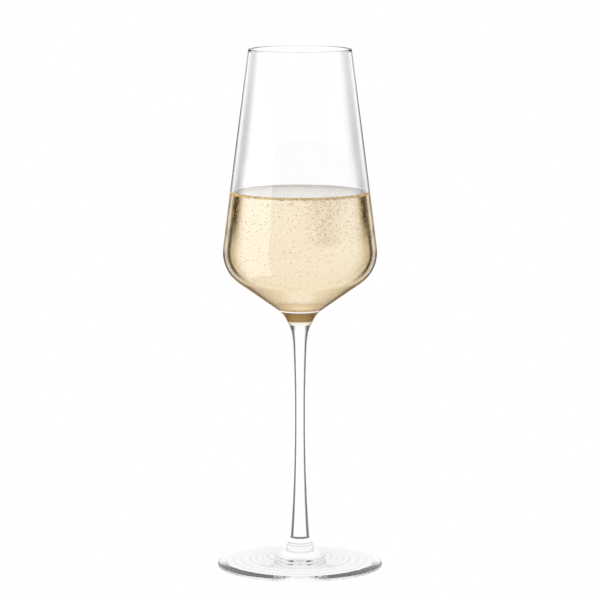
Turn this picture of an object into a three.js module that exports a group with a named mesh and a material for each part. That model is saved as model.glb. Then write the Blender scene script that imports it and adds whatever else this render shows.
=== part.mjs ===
// A champagne flute with a pour of champagne in it.
//
// The glass is a three-piece stemware construction: a thin blown bowl, a solid drawn stem and a
// spun foot, fused end to end while hot. The champagne and the collar of bubbles around its
// surface are separate bodies inside the bowl.
//
// Units are millimetres, +Z is up, and the origin is the centre of the plane the foot rests on.
// Every piece is a solid of revolution about Z, so each one is a profile of (radius, height)
// points turned by a LatheGeometry.

import * as THREE from "three";

// ---------------------------------------------------------------- driving dimensions

const HEIGHT = 240; // foot to rim
const SEGMENTS = 48; // facets around the axis
const CHORD_ERROR = 0.05; // how far a chord of a round stretch may lie from its arc

const FOOT = {
  radius: 38.2,
  edgeThickness: 1.3,
  bearingInner: 32, // the foot rests on a flat ring from here to bearingOuter
  bearingOuter: 37,
  hollowDepth: 2.2, // how far the underside is domed up at the axis
  coneRadius: 9.3, // where the top of the disc meets the central cone
  coneHeight: 4.6,
  coneRound: 5,
};

const STEM = {
  bottom: 14, // height of the seam between foot and stem
  bottomRadius: 4.25,
  top: 113, // height of the seam between stem and bowl
  topRadius: 5.1,
  waistRadius: 2.32,
};

const BOWL = {
  rimRadius: 23.6,
  rimWall: 1,
  rimRound: 0.45,
  shoulder: 138.5, // height at which the side wall's line meets the lower cone's
  shoulderRadius: 36.57, // radius there, before the corner is rounded
  shoulderRound: 17,
  shoulderWall: 1.3,
  bulge: 0.15, // how far the side wall bows out from straight, half way up
  neck: 118.3, // height at which the lower cone's line meets the flare into the stem
  neckRadius: 7.8,
  neckRound: 13,
  floor: 120.6, // height of the inside of the bowl on the axis
  floorRound: 19, // radius of the rounded floor
  floorSlope: THREE.MathUtils.degToRad(35), // where the floor has become as steep as the cone
};

const CHAMPAGNE = {
  level: 173, // height of the flat part of the surface
  climb: 1.4, // how far the meniscus climbs the wall
  reach: 4.2, // how far the meniscus reaches in from the wall
  gap: 0.3, // clearance to the glass
};

const COLLAR = { width: 1.4, height: 0.9 }; // the ring of bubbles lying on the meniscus

const WALL_MIDDLE = (BOWL.shoulder + HEIGHT) / 2; // half way up the bowl's side wall

// ---------------------------------------------------------------- profiles

const point = (radius, height) => new THREE.Vector2(radius, height);

// The outline through corners, each [radius, height, rounding]. A corner with a rounding is
// replaced by the arc of that radius that touches both of its sides.
function outline(corners) {
  const points = [];
  corners.forEach(([radius, height, rounding], i) => {
    const corner = point(radius, height);
    if (!rounding) {
      points.push(corner);
      return;
    }
    const before = point(...corners[i - 1]).sub(corner).normalize();
    const after = point(...corners[i + 1]).sub(corner).normalize();
    const half = before.angleTo(after) / 2;
    const middle = before.clone().add(after).normalize();
    const centre = corner.clone().addScaledVector(middle, rounding / Math.sin(half));
    const start = corner.clone().addScaledVector(before, rounding / Math.tan(half));
    const turn = (2 * half - Math.PI) * Math.sign(before.cross(after));
    const steps = Math.ceil(Math.abs(turn) / (2 * Math.acos(1 - CHORD_ERROR / rounding)));
    for (let step = 0; step <= steps; step++) {
      points.push(start.clone().rotateAround(centre, (turn * step) / steps));
    }
  });
  return points;
}

// The foot: a shallow disc, domed up underneath, with a cone in the middle that meets the stem.
function footProfile() {
  const edge = FOOT.edgeThickness / 2;
  const underside = new THREE.QuadraticBezierCurve(
    point(0, FOOT.hollowDepth),
    point(FOOT.bearingInner / 2, FOOT.hollowDepth),
    point(FOOT.bearingInner, 0),
  );
  const top = outline([
    [FOOT.bearingOuter, 0],
    [FOOT.radius, 0, edge],
    [FOOT.radius, FOOT.edgeThickness, edge],
    [FOOT.coneRadius, FOOT.coneHeight, FOOT.coneRound],
    [STEM.bottomRadius + 0.1, STEM.bottom - 1.4, 3],
    [STEM.bottomRadius, STEM.bottom],
  ]);
  return [...underside.getPoints(6), ...top, point(0, STEM.bottom)];
}

// The stem: a solid rod, drawn to a waist, that thickens towards the foot and the bowl.
function stemProfile() {
  const side = new THREE.SplineCurve([
    point(STEM.bottomRadius, STEM.bottom),
    point(3.75, 21),
    point(3.15, 32),
    point(2.62, 46),
    point(STEM.waistRadius, 62),
    point(STEM.waistRadius, 78),
    point(2.62, 91),
    point(3.15, 104.5),
    point(3.95, 110),
    point(STEM.topRadius, STEM.top),
  ]);
  return [point(0, STEM.bottom), ...side.getPoints(18), point(0, STEM.top)];
}

// The radius of the bowl's side wall, outside or inside, at a height above the shoulder.
function wallRadius(height, inside) {
  const up = (height - BOWL.shoulder) / (HEIGHT - BOWL.shoulder);
  const wall = THREE.MathUtils.lerp(BOWL.shoulderWall, BOWL.rimWall, up);
  const radius = THREE.MathUtils.lerp(BOWL.shoulderRadius, BOWL.rimRadius, up);
  return radius + 4 * BOWL.bulge * up * (1 - up) - (inside ? wall : 0);
}

// The inside of the bowl, from its floor on the axis up to a height, kept inset from the glass.
function innerOutline(height, inset = 0) {
  const floorRound = BOWL.floorRound - inset;
  const centre = BOWL.floor + BOWL.floorRound;
  const floor = [0, 1 / 3, 2 / 3, 1].map((share) => {
    const slope = BOWL.floorSlope * share;
    return [floorRound * Math.sin(slope), centre - floorRound * Math.cos(slope)];
  });
  const shoulder = [
    wallRadius(BOWL.shoulder, true) - inset,
    BOWL.shoulder + BOWL.shoulderWall * 0.8 + inset * 0.7,
    BOWL.shoulderRound - BOWL.shoulderWall - inset,
  ];
  return outline([...floor, shoulder, [wallRadius(height, true) - inset, height]]);
}

// The bowl: a tapering wall with a high shoulder over a cone that closes onto the stem.
function bowlProfile() {
  const outside = outline([
    [STEM.topRadius, STEM.top],
    [BOWL.neckRadius, BOWL.neck, BOWL.neckRound],
    [BOWL.shoulderRadius, BOWL.shoulder, BOWL.shoulderRound],
    [wallRadius(WALL_MIDDLE), WALL_MIDDLE],
    [BOWL.rimRadius, HEIGHT, BOWL.rimRound],
    [BOWL.rimRadius - BOWL.rimWall, HEIGHT, BOWL.rimRound],
    [wallRadius(WALL_MIDDLE, true), WALL_MIDDLE],
  ]);
  const inside = innerOutline(WALL_MIDDLE).reverse().slice(1);
  return [point(0, STEM.top), ...outside, ...inside];
}

// The champagne: it fills the bowl to its level, with a meniscus that climbs the wall.
function champagneProfile() {
  const side = innerOutline(CHAMPAGNE.level + CHAMPAGNE.climb, CHAMPAGNE.gap);
  const edge = side.at(-1);
  const meniscus = new THREE.QuadraticBezierCurve(
    edge,
    point(edge.x - 0.6, CHAMPAGNE.level),
    point(edge.x - CHAMPAGNE.reach, CHAMPAGNE.level),
  );
  return [...side, ...meniscus.getPoints(5).slice(1), point(0, CHAMPAGNE.level)];
}

// The collar of bubbles: a soft ring that lies on the meniscus, just clear of glass and champagne.
function collarProfile() {
  const bottom = CHAMPAGNE.level + CHAMPAGNE.climb + CHAMPAGNE.gap;
  const outer = wallRadius(bottom, true) - CHAMPAGNE.gap;
  const inner = outer - COLLAR.width;
  return [
    point(inner, bottom),
    point(outer, bottom),
    point(outer - 0.15, bottom + COLLAR.height),
    point(inner + 0.3, bottom + COLLAR.height),
    point(inner, bottom),
  ];
}

// ---------------------------------------------------------------- materials

const glass = new THREE.MeshStandardMaterial({
  color: 0xf4f7f8,
  roughness: 0.02,
  metalness: 0,
  transparent: true,
  opacity: 0.35,
});
const champagne = new THREE.MeshStandardMaterial({
  color: 0xf2dda6,
  roughness: 0.03,
  metalness: 0,
  transparent: true,
  opacity: 0.75,
});
const foam = new THREE.MeshStandardMaterial({ color: 0xfbf3df, roughness: 0.35, metalness: 0 });

// ---------------------------------------------------------------- assembly

const pieces = {
  foot: [footProfile, glass],
  stem: [stemProfile, glass],
  bowl: [bowlProfile, glass],
  champagne: [champagneProfile, champagne],
  bubble_collar: [collarProfile, foam],
};

const flute = new THREE.Group();
for (const [name, [profile, material]] of Object.entries(pieces)) {
  const mesh = new THREE.Mesh(new THREE.LatheGeometry(profile(), SEGMENTS), material);
  mesh.name = name;
  mesh.rotation.x = Math.PI / 2; // a lathe turns about Y, and the flute stands along Z
  flute.add(mesh);
}

export default flute;
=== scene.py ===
"""The looks of a champagne flute with a pour of champagne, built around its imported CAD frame."""

import functools
import math
import random

import bmesh
import bpy
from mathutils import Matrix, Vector


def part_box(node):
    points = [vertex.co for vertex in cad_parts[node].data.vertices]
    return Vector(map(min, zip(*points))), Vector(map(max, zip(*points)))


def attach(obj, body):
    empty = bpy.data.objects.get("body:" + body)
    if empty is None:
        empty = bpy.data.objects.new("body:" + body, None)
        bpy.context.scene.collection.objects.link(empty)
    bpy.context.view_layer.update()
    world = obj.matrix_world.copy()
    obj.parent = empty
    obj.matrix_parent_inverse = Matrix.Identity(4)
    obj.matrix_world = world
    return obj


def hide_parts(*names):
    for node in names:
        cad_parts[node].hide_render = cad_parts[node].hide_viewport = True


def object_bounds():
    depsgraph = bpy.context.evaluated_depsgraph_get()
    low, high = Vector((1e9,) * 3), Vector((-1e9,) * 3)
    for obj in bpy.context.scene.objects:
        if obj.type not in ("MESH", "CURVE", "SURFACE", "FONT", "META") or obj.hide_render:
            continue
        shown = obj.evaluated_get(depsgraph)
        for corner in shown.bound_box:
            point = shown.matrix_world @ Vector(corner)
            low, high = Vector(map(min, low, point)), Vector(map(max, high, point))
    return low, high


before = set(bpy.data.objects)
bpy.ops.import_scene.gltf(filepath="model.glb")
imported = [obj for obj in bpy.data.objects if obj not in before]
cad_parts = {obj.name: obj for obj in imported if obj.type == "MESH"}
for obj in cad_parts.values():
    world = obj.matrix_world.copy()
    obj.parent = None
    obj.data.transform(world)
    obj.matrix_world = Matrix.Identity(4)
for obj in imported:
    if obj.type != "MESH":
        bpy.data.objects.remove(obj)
cad_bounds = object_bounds()
scene = bpy.context.scene

MM = 0.001
AROUND = 160  # facets around the axis of every turned piece

# Heights and radii that the frame fixes, in millimetres.
HEIGHT = cad_bounds[1].z / MM
FOOT_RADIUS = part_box("foot")[1].x / MM
FOOT_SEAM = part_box("stem")[0].z / MM
BOWL_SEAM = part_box("stem")[1].z / MM
CAD_GAP = 0.3  # between the frame's champagne and its glass
WALL_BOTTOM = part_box("champagne")[0].z / MM - CAD_GAP  # the inside of the bowl's floor


# ------------------------------------------------------------------ camera

CAMERA_DISTANCE = 1.58765
CAMERA_HEIGHT = 0.34680
CAMERA_PITCH = 0.139208


def add_camera():
    data = bpy.data.cameras.new("camera")
    data.sensor_width = 36
    data.lens = 208.8
    data.clip_start = 0.01
    data.clip_end = 30
    camera = bpy.data.objects.new("camera", data)
    camera.location = (0, -CAMERA_DISTANCE, CAMERA_HEIGHT)
    camera.rotation_euler = (math.pi / 2 - CAMERA_PITCH, 0, 0)
    scene.collection.objects.link(camera)
    scene.camera = camera


# ------------------------------------------------------------------ profiles, in millimetres


def rounded(corners, step=math.radians(3)):
    """The outline through corners (radius, height[, rounding]), with arcs for the rounded ones."""
    points = []
    for i, corner in enumerate(corners):
        here = Vector(corner[:2])
        if len(corner) == 2:
            points.append(here)
            continue
        before = (Vector(corners[i - 1][:2]) - here).normalized()
        after = (Vector(corners[i + 1][:2]) - here).normalized()
        half = before.angle(after) / 2
        centre = here + (before + after).normalized() * corner[2] / math.sin(half)
        spoke = here + before * corner[2] / math.tan(half) - centre
        turn = (2 * half - math.pi) * (1 if before.cross(after) > 0 else -1)
        steps = max(1, math.ceil(abs(turn) / step))
        for k in range(steps + 1):
            a = turn * k / steps
            out = spoke.x * math.cos(a) - spoke.y * math.sin(a)
            up = spoke.x * math.sin(a) + spoke.y * math.cos(a)
            points.append(centre + Vector((out, up)))
    return points


def spline(points, steps=12):
    """A smooth curve through the points (Catmull-Rom)."""
    ends = [2 * points[0] - points[1], *points, 2 * points[-1] - points[-2]]
    curve = []
    for a, b, c, d in zip(ends, ends[1:], ends[2:], ends[3:]):
        for k in range(steps):
            t = k / steps
            square = 2 * a - 5 * b + 4 * c - d
            cube = 3 * b - a - 3 * c + d
            curve.append(0.5 * (2 * b + (c - a) * t + square * t**2 + cube * t**3))
    return [*curve, points[-1]]


def even(points, spacing):
    """The same outline with points at an even spacing."""
    result = [points[0]]
    left = spacing
    for a, b in zip(points, points[1:]):
        length = (b - a).length
        at = left
        while at < length:
            result.append(a.lerp(b, at / length))
            at += spacing
        left = at - length
    if (result[-1] - points[-1]).length < spacing * 0.5:
        result.pop()
    return [*result, points[-1]]


def softened(points, reach):
    """The outline with its curvature evened out over reach points to either side; the ends stay."""
    result = []
    last = len(points) - 1
    for i in range(len(points)):
        n = min(reach, i, last - i)
        window = points[i - n : i + n + 1]
        result.append(sum(window, Vector((0, 0))) / len(window))
    return result


RIM_RADIUS = 23.6
RIM_WALL = 1.0
LIP_ROUND = 0.49
LIP = 1  # how far below the rim the side wall ends and the lip begins
SHOULDER = (36.57, 138.5)
SHOULDER_WALL = 1.3
SHOULDER_ROUND = 17
NECK = (7.8, 118.3)
NECK_ROUND = 13
FLOOR_ROUND = 19
FLOOR_SLOPE = math.radians(35)
WALL_START = 160  # height above which the side wall is clear of the shoulder's rounding
WALL_BULGE = 0.6  # the side wall's bow out from straight, times four
SPACING = 0.3  # between the points of an outline
SOFTENING = 5  # points to either side over which its curvature is evened out


def wall_radius(height, inside=False):
    """The radius of the bowl's side wall, above its shoulder."""
    up = (height - SHOULDER[1]) / (HEIGHT - SHOULDER[1])
    wall = SHOULDER_WALL + (RIM_WALL - SHOULDER_WALL) * up
    radius = SHOULDER[0] + (RIM_RADIUS - SHOULDER[0]) * up
    return radius + WALL_BULGE * up * (1 - up) - (wall if inside else 0)


def side_wall(bottom, top, inside, inset=0):
    steps = 12
    heights = [bottom + (top - bottom) * k / steps for k in range(steps + 1)]
    return [(wall_radius(h, inside) - inset, h) for h in heights]


def glass_outside():
    """The whole glass from the foot's edge up to just below the rim."""
    foot = rounded([
        (FOOT_RADIUS - 1.2, 0),
        (FOOT_RADIUS, 0, 0.65),
        (FOOT_RADIUS, 1.3, 0.6),
        (9.3, 4.6, 5),
        (4.35, 12.6, 3),
        (4.2, 14.6),
    ])
    stem = spline([Vector(p) for p in [
        (4.2, 14.6), (3.75, 21), (3.15, 32), (2.62, 46), (2.34, 60), (2.3, 70),
        (2.34, 80), (2.62, 92), (3.1, 104), (3.9, 110), (4.9, 112.6),
    ]])
    bowl = rounded([
        (4.9, 112.6),
        (*NECK, NECK_ROUND),
        (*SHOULDER, SHOULDER_ROUND),
        *side_wall(WALL_START, HEIGHT - LIP, False),
    ])
    edge = next(i for i, p in enumerate(foot) if p.y > 1.29 and p.x < FOOT_RADIUS - 0.5)
    main = even([*foot[edge:], *stem[1:], *bowl[1:]], SPACING)
    return [*foot[:edge], *softened(main, SOFTENING)]


def glass_inside(top, inset=0):
    """The inside of the bowl, from its floor on the axis up to a height, kept inset from the glass."""
    centre = WALL_BOTTOM + FLOOR_ROUND
    turns = [FLOOR_SLOPE * k / 12 for k in range(13)]
    radius = FLOOR_ROUND - inset
    floor = [(radius * math.sin(a), centre - radius * math.cos(a)) for a in turns]
    shoulder = (
        wall_radius(SHOULDER[1], True) - inset,
        SHOULDER[1] + SHOULDER_WALL * 0.8 + inset * 0.7,
        SHOULDER_ROUND - SHOULDER_WALL - inset,
    )
    line = rounded([*floor, shoulder, *side_wall(WALL_START, top, True, inset)])
    return softened(even(line, SPACING), SOFTENING)


def cut(points, low, high):
    """The stretch of an upward outline between two heights, with its ends exactly on them."""
    inside = [p for p in points if low < p.y < high]
    first = next(i for i, p in enumerate(points) if p.y > low)
    start, end = [], []
    if first > 0:
        a, b = points[first - 1], points[first]
        start = [a.lerp(b, (low - a.y) / (b.y - a.y))]
    last = max(i for i, p in enumerate(points) if p.y < high)
    if last < len(points) - 1:
        a, b = points[last], points[last + 1]
        end = [a.lerp(b, (high - a.y) / (b.y - a.y))]
    return [*start, *inside, *end]


def bowl_profile():
    outside = cut(glass_outside(), BOWL_SEAM, HEIGHT)
    inside = glass_inside(HEIGHT - LIP)
    lip = [
        tuple(outside[-1]),
        (RIM_RADIUS, HEIGHT, LIP_ROUND),
        (RIM_RADIUS - RIM_WALL, HEIGHT, LIP_ROUND),
        tuple(inside[-1]),
    ]
    rim = rounded(lip, math.radians(12))
    return [Vector((0, BOWL_SEAM)), *outside[:-1], *rim[:-1], *inside[::-1]]


def stem_profile():
    return [Vector((0, FOOT_SEAM)), *cut(glass_outside(), FOOT_SEAM, BOWL_SEAM), Vector((0, BOWL_SEAM))]


def foot_profile():
    rim_inside = 32
    dome = 2.2
    turns = [k / 24 for k in range(24)]
    underside = [Vector((rim_inside * t, dome * (1 - t * t))) for t in turns]
    outside = glass_outside()
    top = cut([p for p in outside if p.y > 0.0001], 2, FOOT_SEAM)
    ring = [p for p in outside if p.y < top[0].y and p.x > 15]  # the rounded edge
    return [*underside, Vector((rim_inside, 0)), *ring, *top, Vector((0, FOOT_SEAM))]


WINE_LEVEL = 173.0
WINE_CLIMB = 1.4
WINE_GAP = -0.06  # it reaches a little into the glass, so that no air is left between them
CAPILLARY = 1.5  # the meniscus falls off by 1/e in this distance


def champagne_profile():
    side = glass_inside(WINE_LEVEL + WINE_CLIMB, WINE_GAP)
    edge = side[-1].x
    depths = [0.08 * k * k for k in range(1, 14)]
    meniscus = [Vector((edge - d, WINE_LEVEL + WINE_CLIMB * math.exp(-d / CAPILLARY))) for d in depths]
    flat = [Vector((edge * (1 - k / 5) * 0.55, WINE_LEVEL)) for k in range(1, 6)]
    flat[-1].x = 0
    return [*side, *meniscus, *flat]


# ------------------------------------------------------------------ mesh helpers


def turned(name, profile, materials, cap_heights=()):
    """A closed piece turned from its profile. Faces flat at a cap height take the second material."""
    mesh = bmesh.new()
    rings = []
    for p in profile:
        if p.x < 1e-6:
            rings.append([mesh.verts.new((0, 0, p.y * MM))])
            continue
        angles = [2 * math.pi * k / AROUND for k in range(AROUND)]
        radius = p.x * MM
        height = p.y * MM
        rings.append([mesh.verts.new((radius * math.cos(a), radius * math.sin(a), height)) for a in angles])
    for low, high in zip(rings, rings[1:]):
        for k in range(AROUND):
            n = (k + 1) % AROUND
            corners = [low[k % len(low)], low[n % len(low)], high[n % len(high)], high[k % len(high)]]
            mesh.faces.new(list(dict.fromkeys(corners)))
    bmesh.ops.recalc_face_normals(mesh, faces=mesh.faces)
    for face in mesh.faces:
        face.smooth = True
        flat = max(v.co.z for v in face.verts) - min(v.co.z for v in face.verts) < 1e-7
        if flat and any(abs(face.verts[0].co.z / MM - h) < 1e-3 for h in cap_heights):
            face.material_index = 1
            for edge in face.edges:
                if any(f.normal.dot(face.normal) < 0.9 for f in edge.link_faces):
                    edge.smooth = False
    data = bpy.data.meshes.new(name)
    mesh.to_mesh(data)
    mesh.free()
    piece = bpy.data.objects.new(name, data)
    scene.collection.objects.link(piece)
    for material in materials:
        data.materials.append(material)
    return piece


# ------------------------------------------------------------------ node helpers


def feed(tree, socket, value):
    """Links a socket, or sets it to a number, a vector or a colour."""
    if isinstance(value, bpy.types.NodeSocket):
        tree.links.new(value, socket)
    else:
        socket.default_value = value


def calc(tree, operation, *values):
    node = tree.nodes.new("ShaderNodeMath")
    node.operation = operation
    for socket, value in zip(node.inputs, values):
        feed(tree, socket, value)
    return node.outputs[0]


def vector_calc(tree, operation, *values):
    node = tree.nodes.new("ShaderNodeVectorMath")
    node.operation = operation
    for socket, value in zip(node.inputs, values):
        feed(tree, socket, value)
    return node.outputs["Value" if operation in ("DOT_PRODUCT", "LENGTH") else "Vector"]


def ramp(tree, factor, stops):
    """A value or colour that runs evenly between its stops, each (position, value or colour)."""
    node = tree.nodes.new("ShaderNodeValToRGB")
    elements = node.color_ramp.elements
    elements.remove(elements[1])
    for i, (position, value) in enumerate(stops):
        element = elements.new(position) if i else elements[0]
        element.position = position
        element.color = (*value, 1) if isinstance(value, tuple) else (value, value, value, 1)
    tree.links.new(factor, node.inputs["Fac"])
    return node.outputs["Color"]


def between(tree, value, low, high, first, second):
    """First where a value is below low, second where it is above high, and a blend in between."""
    share = tree.nodes.new("ShaderNodeMapRange")
    share.interpolation_type = "SMOOTHSTEP"
    feed(tree, share.inputs["Value"], value)
    share.inputs["From Min"].default_value = low
    share.inputs["From Max"].default_value = high
    mix = tree.nodes.new("ShaderNodeMix")
    mix.data_type = "RGBA"
    tree.links.new(share.outputs["Result"], mix.inputs["Factor"])
    for socket, colour in (("A", first), ("B", second)):
        feed(tree, mix.inputs[socket], (colour,) * 3 + (1,) if isinstance(colour, (int, float)) else colour)
    return mix.outputs["Result"]


def texture(tree, kind, scale, output):
    """A texture that is fixed to the piece."""
    node = tree.nodes.new(kind)
    node.inputs["Scale"].default_value = scale
    tree.links.new(tree.nodes.new("ShaderNodeTexCoord").outputs["Object"], node.inputs["Vector"])
    return node.outputs[output]


def place(tree):
    """Height above the foot's plane, distance from the axis, and the unit vector out from the axis."""
    where = tree.nodes.new("ShaderNodeTexCoord").outputs["Object"]
    split = tree.nodes.new("ShaderNodeSeparateXYZ")
    tree.links.new(where, split.inputs["Vector"])
    level = vector_calc(tree, "MULTIPLY", where, (1, 1, 0))
    return split.outputs["Z"], vector_calc(tree, "LENGTH", level), vector_calc(tree, "NORMALIZE", level)


def facing(tree):
    """How far the surface turns away from the eye: 0 face on, 1 at its outline."""
    return tree.nodes.new("ShaderNodeLayerWeight").outputs["Facing"]


def across(stops, tilt=7.0, dip=6.0):
    """Ramp stops for facing, from shares of the way from the axis out to the outline, at 1.

    The surface leans back by tilt degrees, and is seen from dip degrees above.
    """
    tilt, dip = math.radians(tilt), math.radians(dip)
    along, up = math.cos(tilt) * math.cos(dip), math.sin(tilt) * math.sin(dip)
    return [(min(1, 1 - up - along * math.sqrt(1 - share * share)), value) for share, value in stops]


# ------------------------------------------------------------------ materials


def new_material(name):
    material = bpy.data.materials.new(name)
    material.use_nodes = True
    tree = material.node_tree
    tree.nodes.clear()
    return material, tree, tree.nodes.new("ShaderNodeOutputMaterial")


def clear_shader(tree, ior, colour=(1, 1, 1, 1), roughness=0.0, transmission=1.0):
    shader = tree.nodes.new("ShaderNodeBsdfPrincipled")
    feed(tree, shader.inputs["Base Color"], colour)
    feed(tree, shader.inputs["Roughness"], roughness)
    feed(tree, shader.inputs["Transmission Weight"], transmission)
    shader.inputs["IOR"].default_value = ior
    return shader


def ripples(tree, shader, scale, strength):
    """The faint unevenness of glass worked hot."""
    noise = texture(tree, "ShaderNodeTexNoise", scale, "Fac")
    bump = tree.nodes.new("ShaderNodeBump")
    bump.inputs["Strength"].default_value = strength
    bump.inputs["Distance"].default_value = 0.0001
    tree.links.new(noise, bump.inputs["Height"])
    tree.links.new(bump.outputs["Normal"], shader.inputs["Normal"])


def shaded_glass(name, shades, scale, strength):
    """Clear glass with painted shade: shades(tree) gives how much, to which colour, and the glass's painted
    tint.
    """
    material, tree, output = new_material(name)
    amount, colour, tint = shades(tree)
    shader = clear_shader(tree, 1.5, tint)
    ripples(tree, shader, scale, strength)
    # painted shade: a dark matte surface mixed into the clear glass where the shades say
    dark = tree.nodes.new("ShaderNodeBsdfDiffuse")
    feed(tree, dark.inputs["Color"], colour)
    mix = tree.nodes.new("ShaderNodeMixShader")
    tree.links.new(amount, mix.inputs["Fac"])
    tree.links.new(shader.outputs["BSDF"], mix.inputs[1])
    tree.links.new(dark.outputs["BSDF"], mix.inputs[2])
    tree.links.new(mix.outputs["Shader"], output.inputs["Surface"])
    return material


def from_outside(tree, value, outward, otherwise=0.0):
    """The value on the outer side of the glass that the camera sees first, and another one elsewhere."""
    geometry = tree.nodes.new("ShaderNodeNewGeometry")
    out = vector_calc(tree, "DOT_PRODUCT", geometry.outputs["Normal"], outward)
    outer = calc(tree, "GREATER_THAN", out, 0.0)
    front = calc(tree, "SUBTRACT", 1.0, geometry.outputs["Backfacing"])
    direct = tree.nodes.new("ShaderNodeLightPath").outputs["Is Camera Ray"]
    where = calc(tree, "MULTIPLY", direct, calc(tree, "MULTIPLY", outer, front))
    return between(tree, where, 0.0, 1.0, otherwise, value)


CLEAR = (1, 1, 1, 1)
PAINTED_SHADE_DARK = (0.02, 0.02, 0.02, 1)  # the colour of the painted shade on the stem and the foot
CONTACT = 0.1751  # height in metres of the line where the champagne meets the glass
CONE = (-55, 8)  # tilt and dip of the bowl's lower cone, for across
SHOULDER_TURN = (-10, 8)


def shade_above(tree, height, seen):
    """Painted shade on the bowl above the champagne: a band and a line inside its outline."""
    high = ramp(tree, seen, across([
        (0.71, 0), (0.76, 0.06), (0.83, 0.26), (0.861, 0.36), (0.892, 0.38), (0.922, 0.32),
        (0.945, 0.12), (0.965, 0.0), (0.976, 0.15), (0.985, 0.75), (1, 0.9),
    ]))
    high = calc(tree, "MULTIPLY", high, between(tree, height, 0.2, 0.235, 1.0, 0.75))
    low = ramp(tree, seen, across([
        (0.76, 0), (0.81, 0.06), (0.84, 0.16), (0.87, 0.28), (0.9, 0.42), (0.914, 0.36), (0.943, 0.24),
        (0.957, 0.12), (0.972, 0.1), (0.982, 0.6), (1, 0.9),
    ]))
    above = between(tree, height, 0.178, 0.196, low, high)
    # painted shade darkening the rim towards its two ends
    rim = ramp(tree, seen, across([(0.9, 0), (0.94, 0.5), (0.965, 0.8), (1, 0.95)]))
    rim = calc(tree, "MULTIPLY", rim, between(tree, height, 0.2385, 0.2392, 0.0, 1.0))
    return calc(tree, "MAXIMUM", above, rim)


def shade_below(tree, height, over, seen, mottle):
    """Painted shade on the bowl beside and below the champagne."""
    beside = ramp(tree, seen, across([
        (0.77, 0), (0.8, 0.05), (0.825, 0.2), (0.853, 0.5), (0.875, 0.93), (0.912, 0.95),
        (0.935, 0.76), (0.95, 0.3), (0.963, 0.06), (0.975, 0.3), (0.984, 0.8), (1, 0.9),
    ]))
    shoulder = ramp(tree, seen, across([
        (0.84, 0.03), (0.867, 0.12), (0.885, 0.5), (0.9, 0.9), (0.915, 0.9), (0.93, 0.5),
        (0.945, 0.15), (0.965, 0.2), (0.98, 0.85), (1, 0.97),
    ], *SHOULDER_TURN))
    cone = ramp(tree, seen, across([
        (0.62, 0), (0.7, 0.1), (0.747, 0.22), (0.788, 0.5), (0.84, 0.8), (0.9, 0.85), (0.98, 0.95),
    ], *CONE))
    lower = between(tree, height, 0.133, 0.141, cone, shoulder)
    beside = calc(tree, "MULTIPLY", beside, between(tree, mottle, 0.52, 0.66, 1.0, 0.6))
    lower = between(tree, height, 0.15, 0.166, lower, beside)
    # painted dark specks, standing in for the shade of small bubbles seen through the glass
    specks = texture(tree, "ShaderNodeTexVoronoi", 560, "Distance")
    specked = between(tree, specks, 0.12, 0.21, 0.55, 0.0)
    specked = calc(tree, "MULTIPLY", specked, between(tree, height, 0.122, 0.126, 0.0, 1.0))
    lower = calc(tree, "MAXIMUM", lower, specked)
    # a painted line of shade just under where the champagne meets the glass, broken up by noise
    mottled = between(tree, mottle, 0.4, 0.6, 0.7, 0.9)
    line = calc(tree, "MULTIPLY", between(tree, over, -0.0013, -0.0008, 0.0, 1.0), mottled)
    lower = calc(tree, "MAXIMUM", lower, line)
    # painted shade over the bowl's thick floor, then a pale painted highlight line and a fainter dark line
    # above it
    block = ramp(tree, calc(tree, "MULTIPLY_ADD", height, 50.0, -5.5), [
        (0.222, 0), (0.245, 0.92), (0.46, 0.92), (0.475, 0.9), (0.502, 0.9),
        (0.515, 0.5), (0.55, 0.5), (0.575, 0),
    ])
    return calc(tree, "MAXIMUM", lower, block)


def shade_colour(tree, height, over, seen, mottle):
    """The colours of the bowl's painted shade, from its brown block up to its clear upper wall, with a pale
    painted highlight line between.
    """
    side = ramp(tree, seen, across([
        (0.74, (0.36, 0.25, 0.1)), (0.82, (0.06, 0.03, 0.001)), (0.96, (0.05, 0.025, 0.002)),
        (0.985, (0.25, 0.18, 0.1)), (1, (0.4, 0.25, 0.12)),
    ]))
    cone = ramp(tree, seen, across([
        (0.68, (0.36, 0.25, 0.1)), (0.78, (0.14, 0.09, 0.03)), (0.88, (0.08, 0.05, 0.015)),
        (0.94, (0.45, 0.24, 0.07)), (0.98, (0.7, 0.38, 0.12)),
    ], *CONE))
    block = ramp(tree, seen, across([
        (0, (0.34, 0.21, 0.06)), (0.6, (0.28, 0.17, 0.05)), (0.85, (0.12, 0.07, 0.02)),
        (0.95, (0.4, 0.22, 0.07)),
    ], -30, 8))
    shoulder = ramp(tree, seen, across([
        (0.74, (0.36, 0.25, 0.1)), (0.85, (0.06, 0.03, 0.001)), (0.96, (0.05, 0.025, 0.002)),
        (1, (0.09, 0.04, 0.005)),
    ], -20, 8))
    # the colour of a pale painted highlight line at the top of the bowl's thick floor
    painted_lip_highlight = ramp(tree, seen, across([
        (0.1, (0.42, 0.4, 0.4)), (0.4, (0.9, 0.9, 0.92)), (0.9, (0.95, 0.95, 0.97)), (0.97, (0.4, 0.3, 0.15)),
    ], -45, 8))
    brown = between(tree, height, 0.134, 0.138, cone, shoulder)
    brown = between(tree, height, 0.145, 0.149, brown, side)
    brown = between(tree, height, 0.1201, 0.1203, painted_lip_highlight, brown)
    brown = between(tree, height, 0.1193, 0.1196, block, brown)
    # golden painted shade at the line where the champagne meets the glass, and near black painted shade above
    # it
    gold = between(tree, mottle, 0.4, 0.6, (0.4, 0.26, 0.08, 1), (0.72, 0.5, 0.2, 1))
    golden = between(tree, over, -0.0014, -0.001, brown, gold)
    return between(tree, over, -0.0001, 0.0002, golden, (0.03, 0.03, 0.035, 1))


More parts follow.
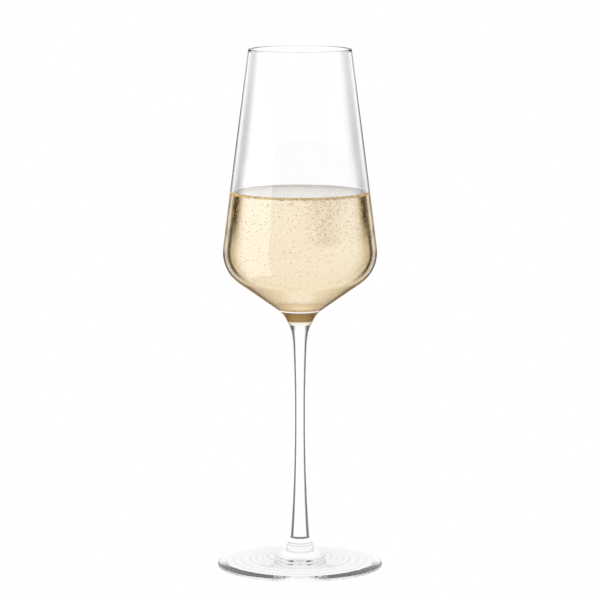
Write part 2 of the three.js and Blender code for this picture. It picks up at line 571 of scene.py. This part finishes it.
def painted_gold_shade(tree, height, over, seen):
    """Painted shade on the glass: the gold of the champagne behind it, painted deeper and darker towards the
    outline.
    """
    side = ramp(tree, seen, across([
        (0.5, (1, 1, 1)), (0.72, (0.95, 0.93, 0.88)), (0.8, (0.75, 0.66, 0.52)), (0.825, (0.62, 0.5, 0.3)),
        (0.87, (0.4, 0.28, 0.1)), (0.94, (0.5, 0.38, 0.2)), (0.963, (0.85, 0.78, 0.65)),
        (1, (0.85, 0.7, 0.5)),
    ]))
    cone = ramp(tree, seen, across([
        (0.1, (0.97, 0.9, 0.76)), (0.3, (0.82, 0.7, 0.45)), (0.41, (0.69, 0.55, 0.3)),
        (0.627, (0.42, 0.28, 0.09)), (0.73, (0.3, 0.18, 0.05)), (0.98, (0.3, 0.15, 0.03)),
    ], *CONE))
    tint = between(tree, height, 0.13, 0.146, cone, side)
    return between(tree, over, -0.0001, 0.0002, tint, CLEAR)


def bowl_shades(tree):
    # painted shade and a painted gold tint on the bowl, where the camera first meets its outer side
    height, _, outward = place(tree)
    over = calc(tree, "SUBTRACT", height, CONTACT)
    seen = facing(tree)
    # noise that mottles the painted shade and its colour
    mottle = texture(tree, "ShaderNodeTexNoise", 900, "Fac")
    above = shade_above(tree, height, seen)
    below = shade_below(tree, height, over, seen, mottle)
    amount = from_outside(tree, between(tree, over, -0.0001, 0.0002, below, above), outward)
    tint = from_outside(tree, painted_gold_shade(tree, height, over, seen), outward, 1.0)
    return amount, shade_colour(tree, height, over, seen, mottle), tint


def stem_shades(tree):
    _, _, outward = place(tree)
    # painted shade: dark lines inside the stem's outline
    painted_edge_shade = ramp(tree, facing(tree), across([
        (0.58, 0), (0.66, 0.12), (0.7, 0.35), (0.75, 0.7), (0.8, 0.85), (0.9, 0.82), (0.96, 0.65), (1, 0.6),
    ], 0, 10))
    return from_outside(tree, painted_edge_shade, outward), PAINTED_SHADE_DARK, CLEAR


def foot_shades(tree):
    """Painted shade: a dark outer edge, dark lines round the cone under the stem, and faint dark rings at set
    radii.
    """
    height, radius, outward = place(tree)
    # painted shade at the foot's outer edge
    edge = ramp(tree, facing(tree), [(0.92, 0), (0.96, 0.7), (1, 0.9)])
    edge = calc(tree, "MULTIPLY", edge, between(tree, radius, 0.0345, 0.036, 0.0, 1.0))
    # painted dark lines round the cone under the stem, at set heights
    bell_shade_lines = ramp(tree, calc(tree, "MULTIPLY", height, 50.0), [
        (0.485, 0), (0.497, 0.4), (0.508, 0), (0.53, 0), (0.543, 0.5), (0.556, 0),
        (0.645, 0), (0.66, 0.8), (0.69, 0.8), (0.7, 0.6),
    ])
    # faint painted dark rings at set radii
    rings = ramp(tree, calc(tree, "MULTIPLY", radius, 25.0), [
        (0.26, 0), (0.29, 0.22), (0.33, 0.04), (0.375, 0.2), (0.41, 0.03), (0.44, 0.18), (0.475, 0.03),
        (0.51, 0.16), (0.545, 0.02), (0.58, 0.15), (0.63, 0.02), (0.68, 0.13), (0.72, 0.02), (0.77, 0.12),
        (0.82, 0.01), (0.86, 0.1), (0.9, 0),
    ])
    amount = calc(tree, "MAXIMUM", calc(tree, "MAXIMUM", edge, bell_shade_lines), rings)
    return from_outside(tree, amount, outward), PAINTED_SHADE_DARK, CLEAR


def seam_material():
    """The faces where two pieces are fused, which light passes straight through."""
    material, tree, output = new_material("fused_seam")
    shader = tree.nodes.new("ShaderNodeBsdfTransparent")
    tree.links.new(shader.outputs["BSDF"], output.inputs["Surface"])
    return material


def absorb(tree, output):
    """The gold of the champagne, which deepens with the way through it."""
    volume = tree.nodes.new("ShaderNodeVolumeAbsorption")
    volume.inputs["Color"].default_value = (0.914, 0.644, 0.05, 1)
    volume.inputs["Density"].default_value = 8
    tree.links.new(volume.outputs["Volume"], output.inputs["Volume"])


def champagne_material():
    material, tree, output = new_material("champagne")
    shader = clear_shader(tree, 1.34)
    ripples(tree, shader, 60, 0.02)
    tree.links.new(shader.outputs["BSDF"], output.inputs["Surface"])
    absorb(tree, output)
    return material


def froth_material():
    """The top of the champagne: a film of fine bubbles, which from below is as clear as the liquid."""
    material, tree, output = new_material("champagne_froth")
    cells = texture(tree, "ShaderNodeTexVoronoi", 1400, "Distance")
    below = tree.nodes.new("ShaderNodeNewGeometry").outputs["Backfacing"]
    film = ramp(tree, cells, [(0, (0.8, 0.825, 0.81)), (0.7, (0.68, 0.7, 0.69))])
    tint = between(tree, below, 0.0, 1.0, film, CLEAR)
    shader = clear_shader(
        tree, 1.34, tint, between(tree, below, 0.0, 1.0, 0.25, 0.0), between(tree, below, 0.0, 1.0, 0.2, 1.0)
    )
    bump = tree.nodes.new("ShaderNodeBump")
    feed(tree, bump.inputs["Strength"], between(tree, below, 0.0, 1.0, 0.4, 0.0))
    bump.inputs["Distance"].default_value = 0.0002
    tree.links.new(cells, bump.inputs["Height"])
    tree.links.new(bump.outputs["Normal"], shader.inputs["Normal"])
    tree.links.new(shader.outputs["BSDF"], output.inputs["Surface"])
    absorb(tree, output)
    return material


def gas_material(name, colour, stops):
    """Bubbles: clear in the middle, with painted shade round the edge, where they turn the light away."""
    material, tree, output = new_material(name)
    shader = clear_shader(tree, 1 / 1.34)
    dark = tree.nodes.new("ShaderNodeBsdfDiffuse")
    dark.inputs["Color"].default_value = colour
    mix = tree.nodes.new("ShaderNodeMixShader")
    weight = tree.nodes.new("ShaderNodeLayerWeight").outputs["Facing"]
    tree.links.new(ramp(tree, weight, stops), mix.inputs["Fac"])
    tree.links.new(shader.outputs["BSDF"], mix.inputs[1])
    tree.links.new(dark.outputs["BSDF"], mix.inputs[2])
    tree.links.new(mix.outputs["Shader"], output.inputs["Surface"])
    return material


def foam_material():
    """The bubbles round the surface: pale films."""
    material, tree, output = new_material("foam")
    weight = tree.nodes.new("ShaderNodeLayerWeight").outputs["Facing"]
    tint = ramp(tree, weight, [(0.2, (1, 1, 1)), (0.8, (0.97, 0.96, 0.94))])
    shader = clear_shader(tree, 1.33, tint, 0.3, 0.1)
    tree.links.new(shader.outputs["BSDF"], output.inputs["Surface"])
    return material


def emission_material(name, strength):
    material, tree, output = new_material(name)
    shader = tree.nodes.new("ShaderNodeEmission")
    shader.inputs["Strength"].default_value = strength
    tree.links.new(shader.outputs["Emission"], output.inputs["Surface"])
    return material


# ------------------------------------------------------------------ studio


def card_material(name):
    """Light for reflections only, of the strength that the card's own vertices say."""
    material, tree, output = new_material(name)
    shade = tree.nodes.new("ShaderNodeAttribute")
    shade.attribute_name = "strength"
    shader = tree.nodes.new("ShaderNodeEmission")
    tree.links.new(shade.outputs["Fac"], shader.inputs["Strength"])
    path = tree.nodes.new("ShaderNodeLightPath")
    clear = tree.nodes.new("ShaderNodeBsdfTransparent")
    mix = tree.nodes.new("ShaderNodeMixShader")
    tree.links.new(path.outputs["Is Reflection Ray"], mix.inputs["Fac"])
    tree.links.new(clear.outputs["BSDF"], mix.inputs[1])
    tree.links.new(shader.outputs["Emission"], mix.inputs[2])
    tree.links.new(mix.outputs["Shader"], output.inputs["Surface"])
    return material


def card(name, low, high, stops):
    """A curved card round the flute, from its low to its high edge, each (distance, height) in metres.

    Its stops are (azimuth in degrees from +X, strength), and the strength runs evenly between them.
    It is seen only in reflections.
    """
    points, strengths, faces = [], [], []
    for (a, start), (b, end) in zip(stops, stops[1:]):
        steps = max(1, math.ceil((b - a) / 3))
        for k in range(steps + (b == stops[-1][0])):
            turn = math.radians(a + (b - a) * k / steps)
            for distance, height in (low, high):
                points.append((distance * math.cos(turn), distance * math.sin(turn), height))
                strengths.append(start + (end - start) * k / steps)
    for k in range(0, len(points) - 2, 2):
        faces.append((k, k + 2, k + 3, k + 1))
    data = bpy.data.meshes.new(name)
    data.from_pydata(points, [], faces)
    data.attributes.new("strength", "FLOAT", "POINT").data.foreach_set("value", strengths)
    data.materials.append(card_material(name))
    piece = bpy.data.objects.new(name, data)
    piece.visible_camera = False
    scene.collection.objects.link(piece)


def add_sky():
    """White near the horizon and darker overhead, and plain white where the camera sees it."""
    world = bpy.data.worlds.new("studio")
    scene.world = world
    world.use_nodes = True
    tree = world.node_tree
    split = tree.nodes.new("ShaderNodeSeparateXYZ")
    tree.links.new(tree.nodes.new("ShaderNodeTexCoord").outputs["Generated"], split.inputs["Vector"])
    sky = ramp(tree, split.outputs["Z"], [(0.4, 1.0), (0.8, 0.8)])
    path = tree.nodes.new("ShaderNodeLightPath")
    seen = between(tree, path.outputs["Is Camera Ray"], 0.0, 1.0, sky, 1.0)
    tree.links.new(seen, tree.nodes["Background"].inputs["Color"])


def add_top_light():
    """A small light over the mouth of the glass, which reaches the froth."""
    data = bpy.data.lights.new("top_light", "AREA")
    data.shape = "DISK"
    data.size = 0.03
    data.energy = 0.35
    light = bpy.data.objects.new("top_light", data)
    light.location = (0, 0, 0.42)
    light.visible_camera = False
    light.visible_glossy = False
    light.visible_transmission = False
    scene.collection.objects.link(light)


def add_studio():
    add_sky()
    add_top_light()
    bpy.ops.mesh.primitive_plane_add(size=12, location=(0, 0, -0.0002))
    floor = bpy.context.object
    floor.name = "floor"
    floor.data.materials.append(emission_material("floor", 1))
    left = [(150, 0.8), (162, 2.0), (172, 3.3), (223, 3.3)]
    card("softbox_left", (1.0, 0.0), (1.0, 0.36), left)
    card("floorbox_left", (0.15, 0.0002), (1.0, 0.0002), left)
    card("softbox_right", (1.0, 0.0), (1.0, 0.36), [(-36, 1.2), (16, 1.2), (24, 0.4)])
    scene.view_settings.view_transform = "Standard"


# ------------------------------------------------------------------ the flute


def add_piece(piece, node):
    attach(piece, "root")
    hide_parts(node)


def add_glass():
    bowl_glass = shaded_glass("bowl_crystal", bowl_shades, 45, 0.02)
    stem_glass = shaded_glass("stem_crystal", stem_shades, 120, 0.05)
    foot_glass = shaded_glass("foot_crystal", foot_shades, 90, 0.08)
    seam = seam_material()
    bowl = turned("bowl_glass", bowl_profile(), [bowl_glass, seam], [BOWL_SEAM])
    stem = turned("stem_glass", stem_profile(), [stem_glass, seam], [FOOT_SEAM, BOWL_SEAM])
    foot = turned("foot_glass", foot_profile(), [foot_glass, seam], [FOOT_SEAM])
    add_piece(bowl, "bowl")
    add_piece(stem, "stem")
    add_piece(foot, "foot")


def add_champagne():
    pour = turned("champagne_pour", champagne_profile(), [champagne_material(), froth_material()])
    for face in pour.data.polygons:
        if face.normal.z > 0.5 and face.center.z > (WINE_LEVEL - 1) * MM:
            face.material_index = 1
    add_piece(pour, "champagne")


def small_spheres(name, spheres, material, subdivisions=2):
    """One mesh of many small closed balls, each (x, y, z, radius) in millimetres."""
    ball = bmesh.new()
    bmesh.ops.create_icosphere(ball, subdivisions=subdivisions, radius=1)
    unit = [v.co.copy() for v in ball.verts]
    faces = [[v.index for v in f.verts] for f in ball.faces]
    ball.free()
    points, polygons = [], []
    for x, y, z, r in spheres:
        first = len(points)
        points += [((x + u.x * r) * MM, (y + u.y * r) * MM, (z + u.z * r) * MM) for u in unit]
        polygons += [[first + i for i in f] for f in faces]
    data = bpy.data.meshes.new(name)
    data.from_pydata(points, [], polygons)
    data.polygons.foreach_set("use_smooth", [True] * len(polygons))
    data.materials.append(material)
    piece = bpy.data.objects.new(name, data)
    scene.collection.objects.link(piece)
    return piece


STRAIGHT_ABOVE = 150  # height above which the inside of the bowl is its straight side wall
RISING = 450
CLINGING = 800
FINE = 4000
RING = 420


def wine_radius(height):
    """How far from the axis a bubble can be at a height, clear of the glass."""
    if height > STRAIGHT_ABOVE:
        return wall_radius(height, True) - 0.35
    line = wine_side()
    a, b = next((a, b) for a, b in zip(line, line[1:]) if b.y > height)
    return a.x + (b.x - a.x) * (height - a.y) / (b.y - a.y) - 0.45


@functools.cache
def wine_side():
    return glass_inside(WINE_LEVEL, 0)


def add_bubbles():
    rng = random.Random(7)
    gas = gas_material("gas_bubbles", (0.5, 0.36, 0.14, 1), [(0.0, 0.35), (0.3, 0.85), (0.6, 1)])
    cloud = gas_material("bubble_cloud", (0.95, 0.74, 0.25, 1), [(0.0, 0.5), (0.5, 0.95)])
    rising, fine, ring = [], [], []
    while len(rising) < RISING:
        z = rng.uniform(135, WINE_LEVEL - 0.8)
        a = rng.uniform(0, 2 * math.pi)
        r = rng.uniform(0.07, 0.12) * (1 if z > STRAIGHT_ABOVE else 0.7)
        reach = (wine_radius(z) - (7 if z < STRAIGHT_ABOVE else 0)) * math.sqrt(rng.random())
        rising.append((reach * math.cos(a), reach * math.sin(a), z, r))
    while len(rising) < RISING + CLINGING:  # clinging to the glass
        z = rng.uniform(152, WINE_LEVEL - 0.8)
        a = rng.uniform(0, 2 * math.pi)
        r = rng.uniform(0.08, 0.15)
        rising.append((wine_radius(z) * math.cos(a), wine_radius(z) * math.sin(a), z, r))
    while len(fine) < FINE:  # a drifting cloud
        down = rng.random() ** 1.4
        z = WINE_LEVEL - 0.6 - 22 * down
        x = 10 + rng.gauss(0, 6.5 * (1 - 0.55 * down))
        y = rng.gauss(-8, 8)
        if math.hypot(x, y) < wine_radius(z):
            fine.append((x, y, z, rng.uniform(0.06, 0.13)))
    for _ in range(RING):
        a = rng.uniform(0, 2 * math.pi)
        r = rng.uniform(0.12, 0.3)
        out = wall_radius(174, True) - r - 0.15 - 0.5 * rng.random() ** 3
        ring.append((out * math.cos(a), out * math.sin(a), 173.9 + rng.uniform(-0.35, 0.3), r))
    loose = [small_spheres("rising_bubbles", rising, gas), small_spheres("fine_bubbles", fine, cloud, 1)]
    for piece in loose:
        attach(piece, "root")
    add_piece(small_spheres("bubble_ring", ring, foam_material()), "bubble_collar")


add_camera()
add_studio()
add_glass()
add_champagne()
add_bubbles()

cycles = scene.cycles
cycles.max_bounces = 32
cycles.transmission_bounces = 32
cycles.glossy_bounces = 16
cycles.transparent_max_bounces = 32
cycles.caustics_reflective = True
cycles.caustics_refractive = True
